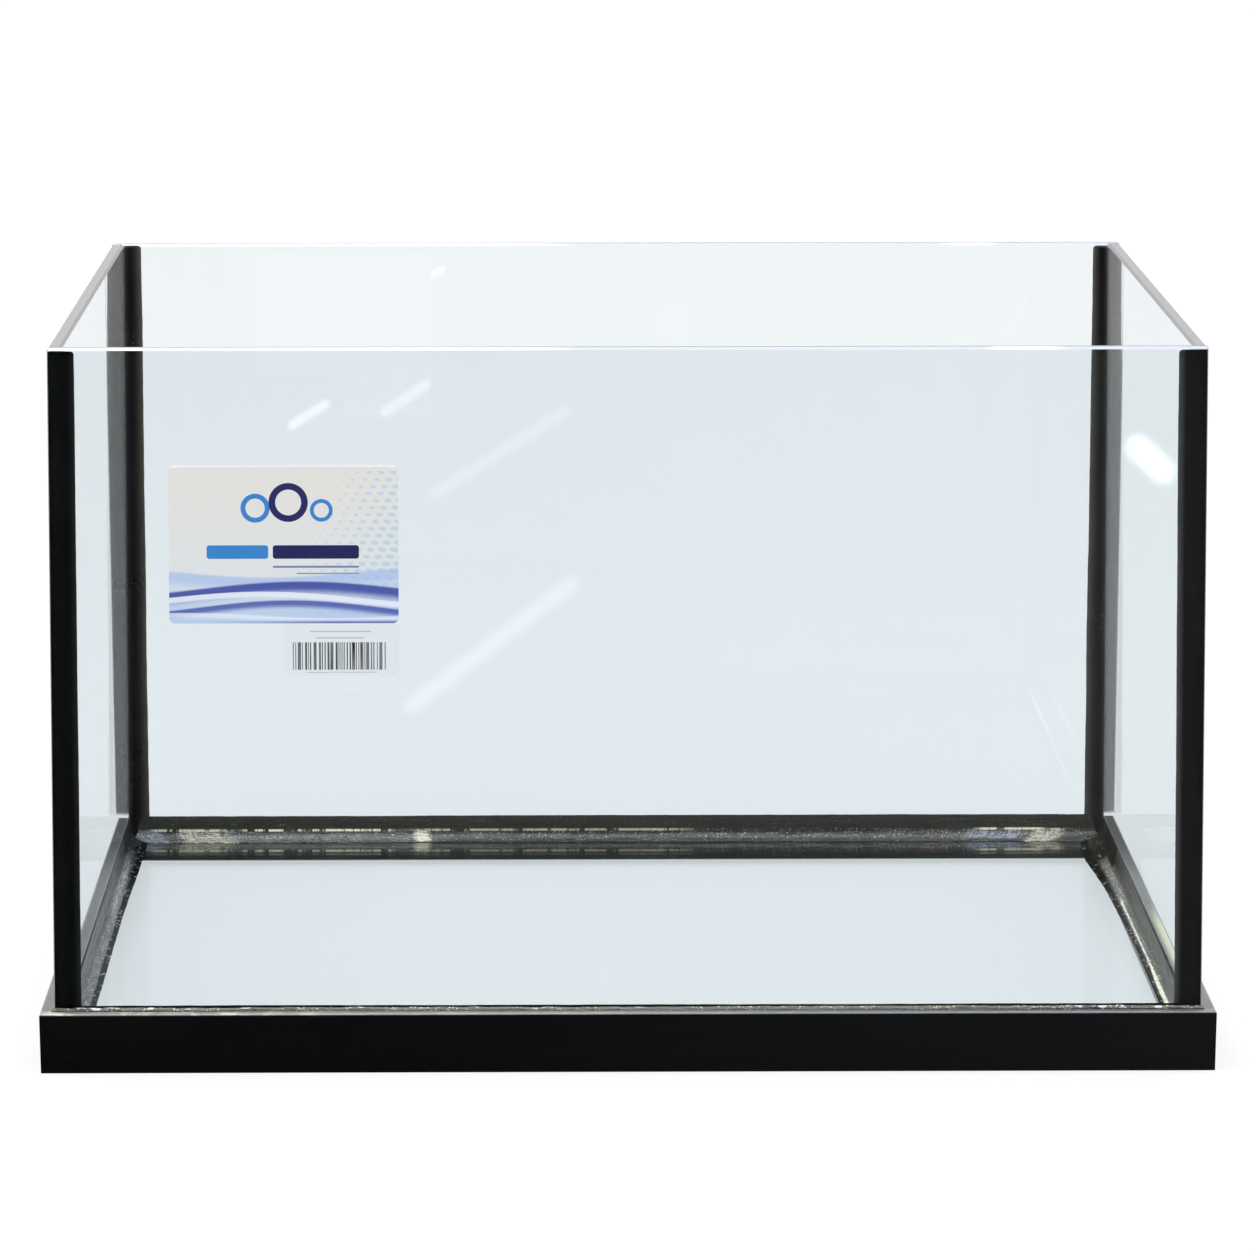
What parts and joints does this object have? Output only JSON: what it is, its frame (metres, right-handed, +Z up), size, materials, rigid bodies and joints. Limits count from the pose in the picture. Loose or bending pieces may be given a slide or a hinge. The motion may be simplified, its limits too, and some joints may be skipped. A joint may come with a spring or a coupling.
{
  "type": "glass aquarium tank",
  "caption": "Rimless square glass aquarium tank with black silicone joints, open top and a black moulded base frame.",
  "frame": {"origin": "centre of the base frame's footprint, on the plane the frame rests on", "axes": "+Z up out of the open top, +X to the right seen from the front, -Y out of the front pane that carries the stickers"},
  "size_m": [0.5206, 0.5206, 0.3215],
  "materials": {
    "tank_glass": "clear polished float glass with ground edges",
    "black_silicone": "cured black silicone sealant, satin to glossy, tooled by hand",
    "frame_plastic": "black moulded plastic, semi-gloss, fine scuffs",
    "sticker_paper": "coated sticker paper with a plain pale blue print",
    "barcode_paper": "matte white label paper with plain black bars"
  },
  "bodies": {
    "root": {"front_panel": "tank_glass", "back_panel": "tank_glass", "left_panel": "tank_glass", "right_panel": "tank_glass", "bottom_panel": "tank_glass", "base_frame": "frame_plastic", "frame_sealing_bead": "black_silicone", "front_left_seam": "black_silicone", "front_right_seam": "black_silicone", "back_left_seam": "black_silicone", "back_right_seam": "black_silicone", "bottom_front_seam": "black_silicone", "bottom_back_seam": "black_silicone", "bottom_left_seam": "black_silicone", "bottom_right_seam": "black_silicone", "front_left_bead": "black_silicone", "front_right_bead": "black_silicone", "back_left_bead": "black_silicone", "back_right_bead": "black_silicone", "bottom_front_bead": "black_silicone", "bottom_back_bead": "black_silicone", "bottom_left_bead": "black_silicone", "bottom_right_bead": "black_silicone", "product_sticker": "sticker_paper", "barcode_sticker": "barcode_paper"}
  },
  "joints": []
}
